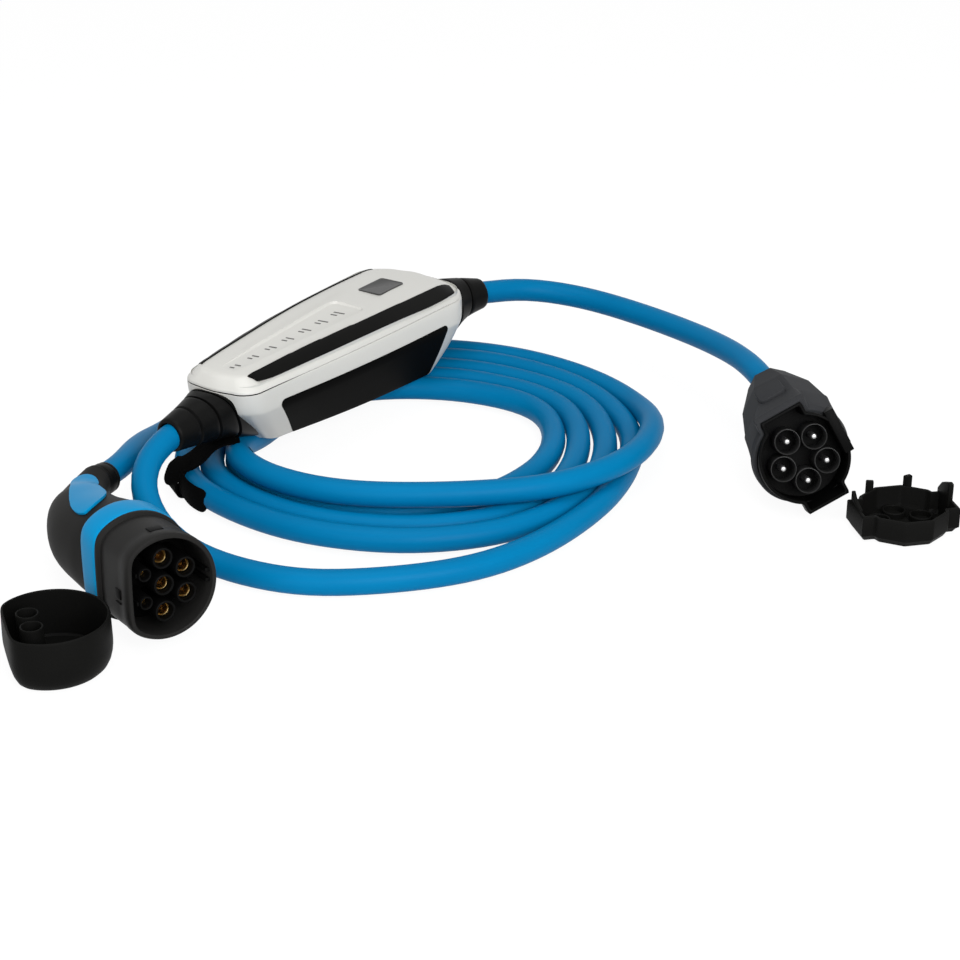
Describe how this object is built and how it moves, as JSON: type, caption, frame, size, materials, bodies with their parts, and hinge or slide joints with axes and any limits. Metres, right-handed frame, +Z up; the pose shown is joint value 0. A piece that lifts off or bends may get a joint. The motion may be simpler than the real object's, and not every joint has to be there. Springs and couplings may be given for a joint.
{
  "type": "portable electric car charger",
  "caption": "Portable in-cable charger for an electric car: tapered control box, coiled cable, vehicle connector, supply plug and loose caps.",
  "frame": {"origin": "on the floor under the middle of the control box, its boots and the two loose caps", "axes": "+X along the control box to its wide end, +Z up from the floor"},
  "size_m": [0.5922, 0.531, 0.0764],
  "materials": {
    "cover_white": "satin",
    "soft_black": "matt",
    "trim_black": "gloss",
    "guide_dark": "satin",
    "plate_dark": "satin",
    "board_green": "matt",
    "part_black": "matt",
    "can_grey": "satin",
    "light_pale": "gloss",
    "screw_steel": "brushed",
    "clamp_grey": "matt",
    "nose_black": "fine grain",
    "contact_brass": "polished",
    "collar_blue": "satin",
    "handle_black": "fine grain",
    "plug_black": "gloss",
    "pin_silver": "polished",
    "plug_grey": "fine grain",
    "cable_blue": "satin",
    "strap_black": "woven",
    "core_blue": "matt"
  },
  "bodies": {
    "root": {"top_cover": "cover_white", "bottom_cover": "cover_white", "housing_seal": "soft_black", "near_grip": "soft_black", "far_grip": "soft_black", "near_trim": "trim_black", "far_trim": "trim_black", "indicator_window": "guide_dark", "emblem_plate": "plate_dark", "circuit_board": "board_green", "relays": "part_black", "residual_current_core": "core_blue", "power_supply_module": "part_black", "control_module": "can_grey", "terminal_blocks": "board_green", "led_board": "board_green", "indicator_leds": "light_pale", "cover_screws": "screw_steel", "vehicle_side_boot": "soft_black", "supply_side_boot": "soft_black", "vehicle_side_clamp": "clamp_grey", "supply_side_clamp": "clamp_grey", "nose_shroud": "nose_black", "contact_carrier": "nose_black", "contact_sleeves": "nose_black", "power_contacts": "contact_brass", "signal_contacts": "contact_brass", "collar": "collar_blue", "connector_handle": "handle_black", "handle_pad": "collar_blue", "gland_nut": "nose_black", "vehicle_cap": "soft_black", "plug_shroud": "plug_black", "plug_insert": "plug_black", "pin_wells": "plug_black", "supply_pins": "pin_silver", "plug_housing": "plug_grey", "supply_cap": "soft_black", "supply_cable": "cable_blue", "vehicle_cable_lead": "cable_blue", "vehicle_cable_coil": "cable_blue", "vehicle_cable_tail": "cable_blue", "strap": "strap_black"}
  },
  "joints": []
}
